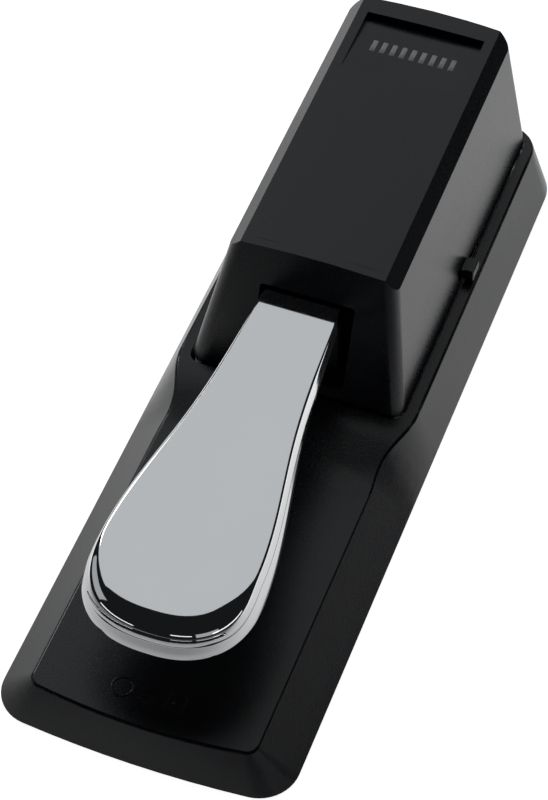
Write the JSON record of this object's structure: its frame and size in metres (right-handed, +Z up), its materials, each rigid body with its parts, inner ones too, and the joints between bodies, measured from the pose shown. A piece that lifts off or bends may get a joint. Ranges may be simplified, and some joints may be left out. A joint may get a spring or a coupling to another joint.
{
  "type": "sustain pedal",
  "caption": "Floor sustain pedal for a keyboard: chrome foot plate hinged in a black moulded housing, spring return, contact switch and polarity slide switch.",
  "frame": {"origin": "middle of the base on the floor", "axes": "+X to the player's right, +Y from the foot plate towards the rear wall, +Z up"},
  "size_m": [0.09, 0.264, 0.0626],
  "materials": {
    "case_plastic": "satin black moulded ABS",
    "rubber_black": "matte black rubber",
    "chrome": "polished chrome plate",
    "zinc_steel": "zinc-plated steel",
    "spring_steel": "drawn spring wire",
    "nylon": "natural nylon",
    "grey_plastic": "glass-filled black nylon",
    "circuit_board": "green solder mask",
    "switch_red": "red moulded button",
    "brass": "tinned brass"
  },
  "bodies": {
    "base": {"base_shell": "case_plastic", "housing_cover": "case_plastic", "front_bezel": "case_plastic", "bottom_plate": "zinc_steel", "rubber_mat": "rubber_black", "shell_screws": "zinc_steel", "cover_screws": "zinc_steel", "bracket_rivets": "zinc_steel", "pivot_shaft": "zinc_steel", "retaining_clips": "spring_steel", "pivot_bracket": "zinc_steel", "spring_seat": "grey_plastic", "return_spring": "spring_steel", "stop_block": "grey_plastic", "down_stop_pad": "rubber_black", "up_stop_pad": "rubber_black", "main_board_posts": "brass", "side_board_posts": "brass", "main_board_screws": "zinc_steel", "side_board_screws": "zinc_steel", "main_board": "circuit_board", "side_board": "circuit_board", "microswitch_body": "grey_plastic", "microswitch_pins": "brass", "polarity_switch_body": "zinc_steel", "cable_grommet": "rubber_black"},
    "pedal": {"pedal": "chrome", "pivot_bush_left": "nylon", "pivot_bush_right": "nylon", "switch_striker": "nylon"},
    "plunger": {"microswitch_plunger": "switch_red"},
    "knob": {"polarity_knob": "case_plastic"}
  },
  "joints": [
    {"name": "pedal_hinge", "type": "hinge", "parent": "base", "child": "pedal", "pos_m": [-0.0012, 0.058, 0.0394], "axis": [1, 0, 0], "range_deg": [0, 4.5], "stiffness_Nm_per_rad": 10, "springref_deg": -11.46, "deforming": ["return_spring"]},
    {"name": "plunger_slide", "type": "slide", "parent": "base", "child": "plunger", "axis": [0, 0, -1], "range_m": [0, 0.0016]},
    {"name": "knob_slide", "type": "slide", "parent": "base", "child": "knob", "axis": [0, 1, 0], "range_m": [0, 0.004]}
  ],
  "couplings": [
    {"joint": "plunger_slide", "follows": "pedal_hinge", "m_per_rad": 0.02}
  ]
}
